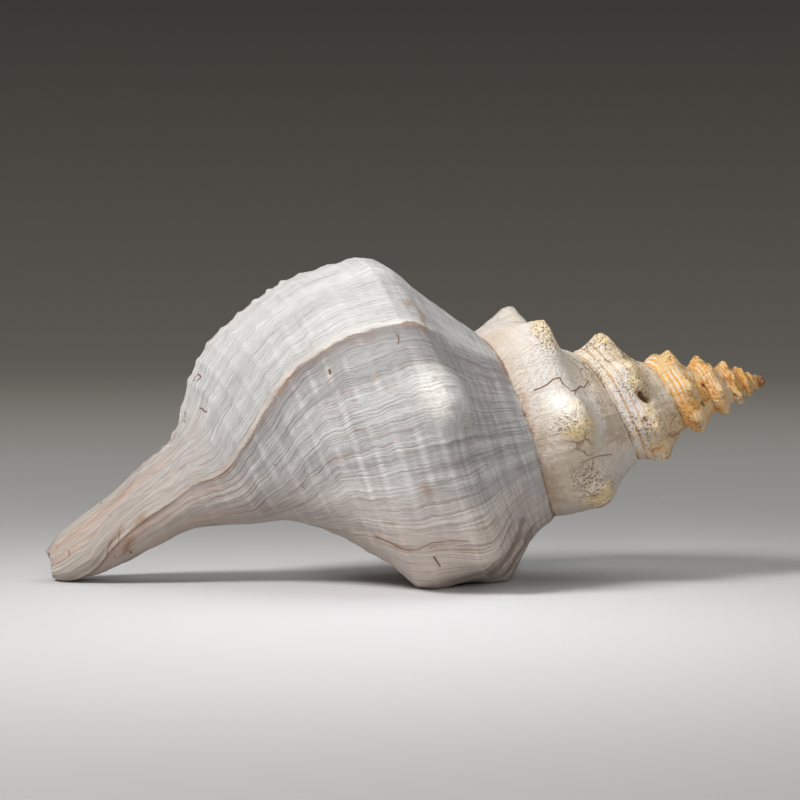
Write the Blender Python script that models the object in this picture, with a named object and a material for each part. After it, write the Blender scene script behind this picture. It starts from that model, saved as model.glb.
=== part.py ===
"""Horse conch shell, lying on its belly of the last turn with the spire to +X.

The shell is one coiled solid. Every point is found from an angle round the coil axis and a
place along the profile, which runs from the suture over the shoulder and the base to the end
of the siphonal canal. The outside is one grid of such points, the inside a tube of closed
loops that starts at the lip and follows the coil inwards. Lengths are in metres, angles in
degrees; an angle of 0 is the side that faces down, 90 the side that faces -Y, and the shell
grows towards larger angles.
"""
import bmesh
import bpy
import numpy as np

# Driving dimensions
AXIS_TILT = 12.4
TURN_RATIO = 1.59
SUTURE_DISTANCE = 0.1092
SUTURE_RADII = (0.0038, 0.0053, 0.0073, 0.0100, 0.0147, 0.0236, 0.0400, 0.0630)
FIRST_RADIUS_TURN = -6
LIP_ANGLE = 190.0
PARIETAL_ANGLE = LIP_ANGLE - 360.0
STATION_STEP = 90.0

# The hollow: its wall, and where along the profile it may run
WALL = 0.0036
LIP_WALL = 0.0020
INNER_COAT = 0.25
WALL_ROOM = 0.3
NARROWEST = 0.0065
SUTURE_INSET = 0.28
PROBE_FROM = 3.0
NARROWS_FROM = 4.5
PROBE_COUNT = 121

# The first rings inside the lip: degrees behind it, wall, and share of the narrowest width
LIP_RINGS = ((0.3, LIP_WALL, 0.12), (4.0, 0.5 * (LIP_WALL + WALL), 0.5))

# The turns of the spire, as ratios of the suture's radius
SPIRE_SHOULDER = 1.62
SPIRE_FLANK = 1.72
SPIRE_KNOB = 0.42
SPIRE_KNOB_WEAR = 0.45
SPIRE_RAMP = 0.44
SHOULDER_PLACE = 0.47
APEX_SHOULDER = 0.5

# The last turn, at -80, 10, 100 and 190 degrees, and knobs also at -170
BODY_SHOULDER_PLACE = (0.45, 0.41, 0.53, 0.56)
BODY_SHOULDER = (0.0539, 0.0601, 0.0785, 0.0955)
BODY_FLANK = (0.0549, 0.0591, 0.0822, 0.0978)
BODY_WAIST = (0.0511, 0.0572, 0.0790, 0.0942)
BODY_RAMP = (0.44, 0.44, 0.46, 0.56)
BODY_KNOB = (0.42, 0.28, 0.17, 0.15, 0.06)

# Base and canal, at -170, -80, 10, 100 and 190 degrees: distance from the apex, then radius
BASE_STATIONS = (
    ((0.1537, 0.1741, 0.1892, 0.2129, 0.2370), (0.0435, 0.0397, 0.0435, 0.0660, 0.0868)),
    ((0.1774, 0.1963, 0.2081, 0.2308, 0.2583), (0.0284, 0.0246, 0.0275, 0.0478, 0.0720)),
    ((0.2034, 0.2199, 0.2294, 0.2483, 0.2720), (0.0180, 0.0175, 0.0180, 0.0331, 0.0530)),
    ((0.2365, 0.2507, 0.2531, 0.2672, 0.2838), (0.0150, 0.0160, 0.0165, 0.0230, 0.0275)),
    ((0.3027, 0.3027, 0.3027, 0.3027, 0.3027), (0.0190, 0.0175, 0.0190, 0.0185, 0.0190)),
    ((0.3270, 0.3270, 0.3270, 0.3270, 0.3270), (0.0132, 0.0150, 0.0165, 0.0155, 0.0132)),
    ((0.3420, 0.3420, 0.3420, 0.3420, 0.3420), (0.0085, 0.0115, 0.0138, 0.0122, 0.0085)),
    ((0.3485, 0.3485, 0.3485, 0.3485, 0.3485), (0.0040, 0.0065, 0.0095, 0.0072, 0.0040)),
)
SHOULDER_ROW = 2.0
SUTURE_ROW = 4.0
LAST_PLACE = SUTURE_ROW + len(BASE_STATIONS)
APERTURE_END = 9.0
SEAM_BLEND = 60.0

# How the coil leans, and how far its axis bends down and to the front, by distance from the apex
LEAN_AT = (0.0, 0.085, 0.115, 0.350)
LEAN = (-0.06, -0.05, 0.096, 0.096)
AXIS_AT = (0.0, 0.018, 0.055, 0.100, 0.2034, 0.2530, 0.2790, 0.3027, 0.3270, 0.3485)
AXIS_DROP = (0.0, -0.0013, -0.0013, 0.0, 0.0, -0.0042, -0.0092, -0.0042, 0.0042, 0.0086)
AXIS_FRONT = (0.0, 0.0, 0.0, 0.0, 0.0, -0.0010, -0.0025, -0.0050, -0.0095, -0.0150)

# Shoulder knobs
KNOB_ANGLE = 8.0
KNOB_SPACING = 54.5
KNOB_WIDTH = 15.0
KNOB_REACH_UP = 0.62
KNOB_REACH_DOWN = 0.95
KNOB_ROUNDNESS = 1.8
FOOT_KNOB_SHIFT = -5.5
FOOT_KNOB_SPREAD = 30.0

# Broad belly that the last turn lies on
BELLY_ANGLE = 32.0
BELLY_PLACE = 3.7
BELLY_HEIGHT = 0.0035
BELLY_SPREAD = (17.0, 0.9)

# Open groove along the canal, which fades in over one place
GROOVE_ANGLE = 206.0
GROOVE_HALF_WIDTH = 15.0
GROOVE_DEPTH = 0.55
GROOVE_START = 7.0
GROOVE_FADE = 1.2

# The worn feet are this deep
FOOT_DEPTH = 0.0012

# Mesh
COLUMNS_PER_TURN = 45
SPIRE_TURNS = 5.5
SPIRE_PLACES = (0.0, 0.6, 1.2, 1.7, 2.1, 2.6, 3.3, 4.0)
BASE_ROWS = 24
CAVITY_STEP = 12.0
CAVITY_DEPTH = 396.0

SHELL_COLOUR = (0.72, 0.70, 0.67, 1.0)
SHELL_ROUGHNESS = 0.6


def spline(values, place):
    """Read a smooth curve through values, which stand at 0, 1, 2 and on, at each place."""
    first = 2 * values[0] - values[1]
    last = 2 * values[-1] - values[-2]
    knots = np.stack([first, *values, last])
    low = np.clip(np.floor(place).astype(int), 0, len(values) - 2)
    step = place - low
    before, start, end, after = (np.take_along_axis(knots, (low + k)[None], 0)[0] for k in range(4))
    cubic = 3 * (start - end) + after - before
    square = 2 * before - 5 * start + 4 * end - after
    return start + 0.5 * step * (end - before + step * (square + step * cubic))


def suture(angle):
    """Distance from the apex and radius of the suture at an angle."""
    turn = angle / 360.0
    logs = [np.full_like(turn, np.log(radius)) for radius in SUTURE_RADII]
    return SUTURE_DISTANCE * TURN_RATIO ** turn, np.exp(spline(logs, turn - FIRST_RADIUS_TURN))


def around(angle, before, values):
    """Carry a value round the last turn, from the one a quarter turn before it."""
    knots = [np.full_like(angle, value) for value in (before, *values)]
    return spline(knots, (angle - PARIETAL_ANGLE) / STATION_STEP + 1.0)


def on_last_turn(angle, spire_value, ratio, stations, ahead=0.0):
    """A radius that follows the suture on the spire and the stations on the last turn."""
    start = suture(np.array(PARIETAL_ANGLE + ahead))[1] * ratio
    before = suture(np.array(PARIETAL_ANGLE - STATION_STEP + ahead))[1] * ratio
    return np.where(angle > PARIETAL_ANGLE, around(angle, before, (start, *stations)), spire_value)


def full_grown(angle):
    """0 at the first column of the spire, 1 from a turn later."""
    return np.clip((angle - PARIETAL_ANGLE) / 360.0 + SPIRE_TURNS, 0.0, 1.0)


def controls(angle):
    """Distances and radii of the profile's control points at each angle."""
    top, top_radius = suture(angle)
    low, low_radius = suture(angle + 360.0)
    share = around(angle, SHOULDER_PLACE, (SHOULDER_PLACE, *BODY_SHOULDER_PLACE))
    share = np.where(angle > PARIETAL_ANGLE, share, SHOULDER_PLACE)
    shoulder = top + share * (low - top)
    shoulder_radius = on_last_turn(angle, top_radius * SPIRE_SHOULDER, SPIRE_SHOULDER, BODY_SHOULDER)
    flank_radius = on_last_turn(angle, top_radius * SPIRE_FLANK, SPIRE_FLANK, BODY_FLANK)
    waist_radius = on_last_turn(angle, low_radius, 1.0, BODY_WAIST, ahead=360.0)
    grown = full_grown(angle)
    cone_radius = top_radius + APEX_SHOULDER * (low_radius - top_radius)
    shoulder_radius = cone_radius + grown * (shoulder_radius - cone_radius)
    flank_radius = cone_radius + grown * (flank_radius - cone_radius)
    ramp = around(angle, SPIRE_RAMP, (SPIRE_RAMP, *BODY_RAMP))
    ramp = np.where(angle > PARIETAL_ANGLE, ramp, SPIRE_RAMP)
    ramp_radius = top_radius + ramp * (shoulder_radius - top_radius)
    distances = [top, 0.5 * (top + shoulder), shoulder, 0.5 * (shoulder + low), low]
    radii = [top_radius, ramp_radius, shoulder_radius, flank_radius, waist_radius]
    shrink = TURN_RATIO ** (np.minimum(angle - PARIETAL_ANGLE, 0.0) / 360.0)
    back = TURN_RATIO ** (-STATION_STEP / 360.0)
    for station_distances, station_radii in BASE_STATIONS:
        for kept, station in ((distances, station_distances), (radii, station_radii)):
            value = around(angle, station[0] * back, station)
            kept.append(np.where(angle > PARIETAL_ANGLE, value, station[0] * shrink))
    return distances, radii


def profile(angle, place):
    """Distance from the apex and radius of the plain surface."""
    flat_angle = np.ravel(angle).astype(float)
    flat_place = np.ravel(place).astype(float)
    distances, radii = controls(flat_angle)
    distance = spline(distances, flat_place)
    radius = spline(radii, flat_place)
    seam_distances, seam_radii = controls(np.full_like(flat_angle, LIP_ANGLE))
    near_seam = np.clip(1.0 - (flat_angle - PARIETAL_ANGLE) / SEAM_BLEND, 0.0, 1.0)
    near_seam = near_seam * (flat_angle >= PARIETAL_ANGLE) * (flat_place >= APERTURE_END)
    distance += near_seam * (spline(seam_distances, flat_place) - distance)
    radius += near_seam * (spline(seam_radii, flat_place) - radius)
    return distance.reshape(np.shape(angle)), radius.reshape(np.shape(angle))


def knob_height(angle, place):
    """Height of the shoulder knobs over the plain surface."""
    share = around(angle, SPIRE_KNOB, BODY_KNOB)
    worn = 1.0 - SPIRE_KNOB_WEAR * np.clip(np.cos(np.radians(angle)), 0.0, 1.0)
    share = np.where(angle > PARIETAL_ANGLE, share, SPIRE_KNOB * worn)
    shift = FOOT_KNOB_SHIFT * np.exp(-((angle - KNOB_ANGLE) / FOOT_KNOB_SPREAD) ** 2)
    off = (angle - KNOB_ANGLE - shift + KNOB_SPACING / 2) % KNOB_SPACING - KNOB_SPACING / 2
    reach = np.where(place < SHOULDER_ROW, KNOB_REACH_UP, KNOB_REACH_DOWN)
    across = np.exp(-np.abs(off / KNOB_WIDTH) ** KNOB_ROUNDNESS)
    along = np.exp(-np.abs((place - SHOULDER_ROW) / reach) ** KNOB_ROUNDNESS)
    return suture(angle)[1] * share * full_grown(angle) * across * along


def belly_height(angle, place):
    """Height of the belly under the last turn."""
    across = (angle - BELLY_ANGLE) / BELLY_SPREAD[0]
    along = (place - BELLY_PLACE) / BELLY_SPREAD[1]
    return BELLY_HEIGHT * np.exp(-across ** 2 - along ** 2)


def groove_share(angle, place):
    """Share of the radius that the canal's groove takes away."""
    off = np.abs((angle - GROOVE_ANGLE + 180.0) % 360.0 - 180.0) / GROOVE_HALF_WIDTH
    across = np.sqrt(np.clip(1.0 - off, 0.0, 1.0))
    fade = np.clip((place - GROOVE_START) / GROOVE_FADE, 0.0, 1.0)
    return GROOVE_DEPTH * across * fade * fade * (3 - 2 * fade)


def place_point(distance, radius, angle):
    """World position before the shell is set down."""
    lean = np.interp(distance, LEAN_AT, LEAN)
    along = -distance - lean * radius * np.cos(np.radians(angle))
    down = np.interp(distance, AXIS_AT, AXIS_DROP) + radius * np.cos(np.radians(angle))
    front = np.interp(distance, AXIS_AT, AXIS_FRONT) + radius * np.sin(np.radians(angle))
    cos_tilt = np.cos(np.radians(AXIS_TILT))
    sin_tilt = np.sin(np.radians(AXIS_TILT))
    return np.stack([along * cos_tilt + down * sin_tilt, -front, along * sin_tilt - down * cos_tilt], -1)


def outside(angles, places):
    """Grid of points on the outside, a column for each angle."""
    angle, place = np.meshgrid(angles, places, indexing="ij")
    distance, radius = profile(angle, place)
    radius = radius + knob_height(angle, place) + belly_height(angle, place)
    return place_point(distance, radius * (1.0 - groove_share(angle, place)), angle)


def cavity_loop(angle, outer_places, inner_places, wall, narrowest):
    """One closed loop of the hollow: along the outer wall, then back up the inner wall."""
    fine = np.linspace(PROBE_FROM, APERTURE_END, PROBE_COUNT)
    outer_line = profile(np.full_like(fine, angle), fine)
    inner_line = profile(np.full_like(fine, angle - 360.0), fine)
    width = outer_line[1] - np.interp(outer_line[0], inner_line[0], inner_line[1])
    narrow = np.flatnonzero((width < narrowest) & (fine > NARROWS_FROM))
    end = fine[narrow[0]] if len(narrow) else fine[-2]
    inner_end = np.interp(np.interp(end, fine, outer_line[0]), inner_line[0], fine)
    outer_place = SUTURE_INSET + np.array(outer_places) / APERTURE_END * (end - SUTURE_INSET)
    inner_start = SUTURE_ROW + SUTURE_INSET
    inner_share = (np.array(inner_places) - SUTURE_ROW) / (APERTURE_END - SUTURE_ROW)
    inner_place = inner_start + inner_share * (inner_end - inner_start)
    outer = np.stack(profile(np.full_like(outer_place, angle), outer_place), -1)
    inner = np.stack(profile(np.full_like(inner_place, angle - 360.0), inner_place), -1)
    room = WALL_ROOM * np.interp(outer_place, fine, width, left=1.0)
    inner_room = WALL_ROOM * np.interp(inner[:, 0], outer_line[0], width, left=1.0)
    outer = outer + np.minimum(wall, room)[:, None] * side_normals(outer)
    inner = inner - np.minimum(INNER_COAT * wall, inner_room)[:, None] * side_normals(inner)
    corner = 0.5 * (outer[0] + inner[0])
    tip = 0.5 * (outer[-1] + inner[-1])
    return np.concatenate([[corner], outer[1:-1], [tip], inner[-2:0:-1]])


def side_normals(line):
    """Unit normals of a profile line, towards the axis."""
    along = np.gradient(line, axis=0)
    normal = np.stack([along[:, 1], -along[:, 0]], -1)
    return normal / np.linalg.norm(normal, axis=1, keepdims=True)


class Surface:
    """Points and faces collected before the mesh is made."""

    def __init__(self):
        self.points = []
        self.faces = []

    def add(self, points):
        first = len(self.points)
        self.points.extend(np.reshape(points, (-1, 3)).tolist())
        return list(range(first, len(self.points)))

    def bridge(self, one, other):
        """Join two open rows of the same length."""
        for k in range(len(one) - 1):
            face = [one[k], other[k], other[k + 1], one[k + 1]]
            corners = [point for i, point in enumerate(face) if point != face[i - 1]]
            if len(set(corners)) > 2:
                self.faces.append(corners)

    def fan(self, loop, centre):
        middle = self.add(centre)[0]
        for k, point in enumerate(loop):
            self.faces.append([middle, point, loop[(k + 1) % len(loop)]])


def build_outside(surface, columns, spire_places, last_places):
    """Lay the outside grid; return the point numbers of each column."""
    step = 360.0 / columns
    before = int(columns * SPIRE_TURNS)
    rows = len(spire_places) - 1
    spire_angles = PARIETAL_ANGLE - step * np.arange(before, 0, -1)
    last_angles = PARIETAL_ANGLE + step * np.arange(columns + 1)
    mouth_row = int(np.argmin(np.abs(np.array(last_places) - APERTURE_END)))
    numbers = []
    for grid in (outside(spire_angles, spire_places), outside(last_angles, last_places)):
        for column in grid:
            j = len(numbers)
            shared = [numbers[j - columns][rows]] if j >= columns else []
            tail = numbers[before][mouth_row:] if j == before + columns else []
            fresh = surface.add(column[len(shared):len(column) - len(tail)])
            numbers.append(shared + fresh + tail)
    for j in range(len(numbers) - 1):
        count = min(len(numbers[j]), len(numbers[j + 1]))
        surface.bridge(numbers[j][:count], numbers[j + 1][:count])
    return numbers, before, rows, mouth_row


def close_ends(surface, numbers, before, columns, rows):
    """Cap the apex and the end of the canal."""
    apex_loop = [numbers[j][0] for j in range(columns)] + numbers[0][rows:0:-1]
    apex = place_point(np.array(0.0), np.array(0.0), np.array(0.0))
    surface.fan(apex_loop, apex)
    canal_loop = [numbers[j][-1] for j in range(before, before + columns)]
    surface.fan(canal_loop, np.mean([surface.points[k] for k in canal_loop], axis=0))


def build_cavity(surface, mouth, outer_places, inner_places):
    """Line the hollow from the lip inwards and close it deep inside."""
    rings = [(LIP_ANGLE - behind, wall, share) for behind, wall, share in LIP_RINGS]
    for behind in np.arange(CAVITY_STEP, CAVITY_DEPTH, CAVITY_STEP):
        rings.append((LIP_ANGLE - behind, WALL * TURN_RATIO ** (-behind / 360.0), 1.0))
    ring = mouth
    for angle, wall, share in rings:
        loop = cavity_loop(angle, outer_places, inner_places, wall, share * NARROWEST)
        fresh = surface.add(place_point(loop[:, 0], loop[:, 1], np.full(len(loop), angle)))
        surface.bridge(ring + ring[:1], fresh + fresh[:1])
        ring = fresh
    surface.fan(ring, np.mean([surface.points[k] for k in ring], axis=0))


def shell_surface(columns, spire_places, base_rows):
    """All points and faces of the shell, set down on z = 0 over the origin."""
    surface = Surface()
    last_places = list(spire_places) + list(np.linspace(SUTURE_ROW, LAST_PLACE, base_rows + 1)[1:])
    nearest = int(np.argmin(np.abs(np.array(last_places) - APERTURE_END)))
    last_places[nearest] = APERTURE_END
    numbers, before, rows, mouth_row = build_outside(surface, columns, spire_places, last_places)
    close_ends(surface, numbers, before, columns, rows)
    lip = numbers[before + columns][:mouth_row + 1]
    columella = numbers[before][mouth_row - 1:rows:-1]
    build_cavity(surface, lip + columella, last_places[:mouth_row + 1], last_places[rows:mouth_row + 1])
    points = np.array(surface.points)
    middle = 0.5 * (points.min(axis=0) + points.max(axis=0))
    points -= (middle[0], middle[1], points[:, 2].min() + FOOT_DEPTH)
    points[:, 2] = np.maximum(points[:, 2], 0.0)
    return points, surface.faces


def shell_material():
    material = bpy.data.materials.new("bleached shell")
    material.use_nodes = True
    finish = material.node_tree.nodes["Principled BSDF"]
    finish.inputs["Base Color"].default_value = SHELL_COLOUR
    finish.inputs["Roughness"].default_value = SHELL_ROUGHNESS
    finish.inputs["Metallic"].default_value = 0.0
    return material


def make_object(name, points, faces, material):
    work = bmesh.new()
    corners = [work.verts.new(point) for point in points]
    for face in faces:
        work.faces.new([corners[k] for k in face])
    bmesh.ops.triangulate(work, faces=work.faces[:])
    bmesh.ops.recalc_face_normals(work, faces=work.faces[:])
    mesh = bpy.data.meshes.new(name)
    work.to_mesh(mesh)
    work.free()
    mesh.materials.append(material)
    mesh.shade_smooth()
    shell = bpy.data.objects.new(name, mesh)
    bpy.context.scene.collection.objects.link(shell)
    return shell


for old in list(bpy.data.objects):
    bpy.data.objects.remove(old, do_unlink=True)
shell_points, shell_faces = shell_surface(COLUMNS_PER_TURN, SPIRE_PLACES, BASE_ROWS)
make_object("shell", shell_points, shell_faces, shell_material())
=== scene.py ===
"""Looks of the horse conch shell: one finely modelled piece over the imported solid.

The surface is computed from the same rules as the solid, with a finer grid: an angle round the
coil axis and a place along the profile, from the suture over the shoulder to the end of the
canal. Relief, marks and colours are all laid out in those two coordinates, so they follow the
growth of the shell. Lengths are in metres, angles in degrees.
"""
from types import SimpleNamespace

import bpy
import numpy as np
from mathutils import Matrix, Vector, noise
from mathutils.bvhtree import BVHTree
from mathutils.interpolate import poly_3d_calc

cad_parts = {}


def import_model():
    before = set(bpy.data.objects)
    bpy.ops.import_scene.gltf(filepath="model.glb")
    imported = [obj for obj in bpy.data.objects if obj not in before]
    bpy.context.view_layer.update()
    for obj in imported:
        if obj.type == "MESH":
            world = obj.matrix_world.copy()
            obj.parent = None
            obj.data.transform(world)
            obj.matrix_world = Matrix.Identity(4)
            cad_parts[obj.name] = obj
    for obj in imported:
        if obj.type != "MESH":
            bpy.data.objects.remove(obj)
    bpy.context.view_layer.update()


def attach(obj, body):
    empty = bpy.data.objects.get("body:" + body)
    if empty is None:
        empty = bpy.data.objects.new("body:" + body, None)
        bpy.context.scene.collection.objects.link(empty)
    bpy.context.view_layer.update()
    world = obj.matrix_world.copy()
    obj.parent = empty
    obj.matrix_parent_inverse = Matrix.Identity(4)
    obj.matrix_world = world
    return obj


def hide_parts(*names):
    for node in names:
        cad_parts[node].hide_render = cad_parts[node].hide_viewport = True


# The solid's driving dimensions
AXIS_TILT = 12.4
TURN_RATIO = 1.59
SUTURE_DISTANCE = 0.1092
SUTURE_RADII = (0.0038, 0.0053, 0.0073, 0.0100, 0.0147, 0.0236, 0.0400, 0.0630)
FIRST_RADIUS_TURN = -6
LIP_ANGLE = 190.0
PARIETAL_ANGLE = LIP_ANGLE - 360.0
STATION_STEP = 90.0
WALL = 0.0036
LIP_WALL = 0.0020
INNER_COAT = 0.25
WALL_ROOM = 0.3
NARROWEST = 0.0065
SUTURE_INSET = 0.28
PROBE_FROM = 3.0
NARROWS_FROM = 4.5
PROBE_COUNT = 121
SPIRE_SHOULDER = 1.62
SPIRE_FLANK = 1.72
SPIRE_KNOB = 0.42
SPIRE_KNOB_WEAR = 0.45
SPIRE_RAMP = 0.44
SHOULDER_PLACE = 0.47
APEX_SHOULDER = 0.5
BODY_SHOULDER_PLACE = (0.45, 0.41, 0.53, 0.56)
BODY_SHOULDER = (0.0539, 0.0601, 0.0785, 0.0955)
BODY_FLANK = (0.0549, 0.0591, 0.0822, 0.0978)
BODY_WAIST = (0.0511, 0.0572, 0.0790, 0.0942)
BODY_RAMP = (0.44, 0.44, 0.46, 0.56)
BODY_KNOB = (0.42, 0.28, 0.17, 0.15, 0.06)
BASE_STATIONS = (
    ((0.1537, 0.1741, 0.1892, 0.2129, 0.2370), (0.0435, 0.0397, 0.0435, 0.0660, 0.0868)),
    ((0.1774, 0.1963, 0.2081, 0.2308, 0.2583), (0.0284, 0.0246, 0.0275, 0.0478, 0.0720)),
    ((0.2034, 0.2199, 0.2294, 0.2483, 0.2720), (0.0180, 0.0175, 0.0180, 0.0331, 0.0530)),
    ((0.2365, 0.2507, 0.2531, 0.2672, 0.2838), (0.0150, 0.0160, 0.0165, 0.0230, 0.0275)),
    ((0.3027,) * 5, (0.0190, 0.0175, 0.0190, 0.0185, 0.0190)),
    ((0.3270,) * 5, (0.0132, 0.0150, 0.0165, 0.0155, 0.0132)),
    ((0.3420,) * 5, (0.0085, 0.0115, 0.0138, 0.0122, 0.0085)),
    ((0.3485,) * 5, (0.0040, 0.0065, 0.0095, 0.0072, 0.0040)),
)
SHOULDER_ROW = 2.0
SUTURE_ROW = 4.0
LAST_PLACE = SUTURE_ROW + len(BASE_STATIONS)
APERTURE_END = 9.0
SEAM_BLEND = 60.0
LEAN_AT = (0.0, 0.085, 0.115, 0.350)
LEAN = (-0.06, -0.05, 0.096, 0.096)
AXIS_AT = (0.0, 0.018, 0.055, 0.100, 0.2034, 0.2530, 0.2790, 0.3027, 0.3270, 0.3485)
AXIS_DROP = (0.0, -0.0013, -0.0013, 0.0, 0.0, -0.0042, -0.0092, -0.0042, 0.0042, 0.0086)
AXIS_FRONT = (0.0, 0.0, 0.0, 0.0, 0.0, -0.0010, -0.0025, -0.0050, -0.0095, -0.0150)
KNOB_ANGLE = 8.0
KNOB_SPACING = 54.5
KNOB_WIDTH = 15.0
KNOB_REACH_UP = 0.62
KNOB_REACH_DOWN = 0.95
KNOB_ROUNDNESS = 1.8
FOOT_KNOB_SHIFT = -5.5
FOOT_KNOB_SPREAD = 30.0
BELLY_ANGLE = 32.0
BELLY_PLACE = 3.7
BELLY_HEIGHT = 0.0035
BELLY_SPREAD = (17.0, 0.9)
GROOVE_ANGLE = 206.0
GROOVE_HALF_WIDTH = 15.0
GROOVE_DEPTH = 0.55
GROOVE_START = 7.0
GROOVE_FADE = 1.2
SPIRE_TURNS = 6.5

# Where the solid's frame lies in the coil's own coordinates
FRAME_SHIFT = (-0.170294, -0.009556, -0.094294)

# Fine grid
COLUMNS = 310
SPIRE_ROWS = 20
BASE_ROWS = 120
CAVITY_STEP = 6.0
CAVITY_DEPTH = 396.0
LIP_RINGS = ((0.25, 0.45, 0.05), (0.7, 0.8, 0.12), (1.6, 1.0, 0.3), (3.0, 1.15, 0.5))

# Growth lines: how far they trail behind the lip, by place
TRAIL_AT = (0.0, 5.2, 5.8, 6.35, 7.11, 8.23, 8.78, 9.25, 9.68, 10.2, 12.0)
TRAIL = (1.0, 1.0, 1.064, 1.16, 1.32, 1.72, 2.07, 2.27, 2.5, 3.1, 4.0)
LEDGE_GROWTH = 140.0

# Kinds of surface, kept on the face corners
OUTSIDE = 0.0
OUTER_WALL = 1.0
INNER_WALL = 2.0

# Camera, from the photograph; pixels below are its pixels
VIEW_AZIMUTH = -8.0
VIEW_ELEVATION = 3.5
VIEW_ROLL = 0.35
VIEW_ANGLE = 14.0
METRES_PER_PIXEL = 0.000467
VIEW_AIM = (-0.00643, 0.00187, 0.08565)
FRAME_PIXELS = 800
SEARCH_ANGLE = 3.0
SPIRE_SEARCH_ROWS = 25
LAST_SEARCH_ROWS = 97
SCALE_STEP = 0.05
MILLIMETRE = 0.001


def spline(values, place):
    """Read a smooth curve through values, which stand at 0, 1, 2 and on, at each place."""
    first = 2 * values[0] - values[1]
    last = 2 * values[-1] - values[-2]
    knots = np.stack([first, *values, last])
    low = np.clip(np.floor(place).astype(int), 0, len(values) - 2)
    step = place - low
    before, start, end, after = (np.take_along_axis(knots, (low + k)[None], 0)[0] for k in range(4))
    cubic = 3 * (start - end) + after - before
    square = 2 * before - 5 * start + 4 * end - after
    return start + 0.5 * step * (end - before + step * (square + step * cubic))


def suture(angle):
    """Distance from the apex and radius of the suture at an angle."""
    turn = angle / 360.0
    logs = [np.full_like(turn, np.log(radius)) for radius in SUTURE_RADII]
    return SUTURE_DISTANCE * TURN_RATIO ** turn, np.exp(spline(logs, turn - FIRST_RADIUS_TURN))


def around(angle, before, values):
    """Carry a value round the last turn, from the one a quarter turn before it."""
    knots = [np.full_like(angle, value) for value in (before, *values)]
    return spline(knots, (angle - PARIETAL_ANGLE) / STATION_STEP + 1.0)


def on_last_turn(angle, spire_value, ratio, stations, ahead=0.0):
    """A radius that follows the suture on the spire and the stations on the last turn."""
    start = suture(np.array(PARIETAL_ANGLE + ahead))[1] * ratio
    before = suture(np.array(PARIETAL_ANGLE - STATION_STEP + ahead))[1] * ratio
    return np.where(angle > PARIETAL_ANGLE, around(angle, before, (start, *stations)), spire_value)


def full_grown(angle):
    """0 at the first column of the spire, 1 from a turn later."""
    return np.clip((angle - PARIETAL_ANGLE) / 360.0 + SPIRE_TURNS, 0.0, 1.0)


def turn_size(angle):
    """1 on the last turn, and less by the turn ratio for each turn before it."""
    return TURN_RATIO ** (np.minimum(angle - PARIETAL_ANGLE, 0.0) / 360.0)


def controls(angle):
    """Distances and radii of the profile's control points at each angle."""
    top, top_radius = suture(angle)
    low, low_radius = suture(angle + 360.0)
    share = around(angle, SHOULDER_PLACE, (SHOULDER_PLACE, *BODY_SHOULDER_PLACE))
    share = np.where(angle > PARIETAL_ANGLE, share, SHOULDER_PLACE)
    shoulder = top + share * (low - top)
    shoulder_radius = on_last_turn(angle, top_radius * SPIRE_SHOULDER, SPIRE_SHOULDER, BODY_SHOULDER)
    flank_radius = on_last_turn(angle, top_radius * SPIRE_FLANK, SPIRE_FLANK, BODY_FLANK)
    waist_radius = on_last_turn(angle, low_radius, 1.0, BODY_WAIST, ahead=360.0)
    grown = full_grown(angle)
    cone_radius = top_radius + APEX_SHOULDER * (low_radius - top_radius)
    shoulder_radius = cone_radius + grown * (shoulder_radius - cone_radius)
    flank_radius = cone_radius + grown * (flank_radius - cone_radius)
    ramp = around(angle, SPIRE_RAMP, (SPIRE_RAMP, *BODY_RAMP))
    ramp = np.where(angle > PARIETAL_ANGLE, ramp, SPIRE_RAMP)
    ramp_radius = top_radius + ramp * (shoulder_radius - top_radius)
    distances = [top, 0.5 * (top + shoulder), shoulder, 0.5 * (shoulder + low), low]
    radii = [top_radius, ramp_radius, shoulder_radius, flank_radius, waist_radius]
    shrink = turn_size(angle)
    back = TURN_RATIO ** (-STATION_STEP / 360.0)
    for station_distances, station_radii in BASE_STATIONS:
        for kept, station in ((distances, station_distances), (radii, station_radii)):
            value = around(angle, station[0] * back, station)
            kept.append(np.where(angle > PARIETAL_ANGLE, value, station[0] * shrink))
    return distances, radii


def profile(angle, place):
    """Distance from the apex and radius of the plain surface."""
    flat_angle = np.ravel(angle).astype(float)
    flat_place = np.ravel(place).astype(float)
    distances, radii = controls(flat_angle)
    distance = spline(distances, flat_place)
    radius = spline(radii, flat_place)
    seam_distances, seam_radii = controls(np.full_like(flat_angle, LIP_ANGLE))
    near_seam = np.clip(1.0 - (flat_angle - PARIETAL_ANGLE) / SEAM_BLEND, 0.0, 1.0)
    near_seam = near_seam * (flat_angle >= PARIETAL_ANGLE) * (flat_place >= APERTURE_END)
    distance += near_seam * (spline(seam_distances, flat_place) - distance)
    radius += near_seam * (spline(seam_radii, flat_place) - radius)
    return distance.reshape(np.shape(angle)), radius.reshape(np.shape(angle))


def knob_shape(angle, place):
    """How much of a knob stands at a point, from 0 to 1."""
    shift = FOOT_KNOB_SHIFT * np.exp(-((angle - KNOB_ANGLE) / FOOT_KNOB_SPREAD) ** 2)
    off = (angle - KNOB_ANGLE - shift + KNOB_SPACING / 2) % KNOB_SPACING - KNOB_SPACING / 2
    reach = np.where(place < SHOULDER_ROW, KNOB_REACH_UP, KNOB_REACH_DOWN)
    across = np.exp(-np.abs(off / KNOB_WIDTH) ** KNOB_ROUNDNESS)
    along = np.exp(-np.abs((place - SHOULDER_ROW) / reach) ** KNOB_ROUNDNESS)
    return full_grown(angle) * across * along


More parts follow.
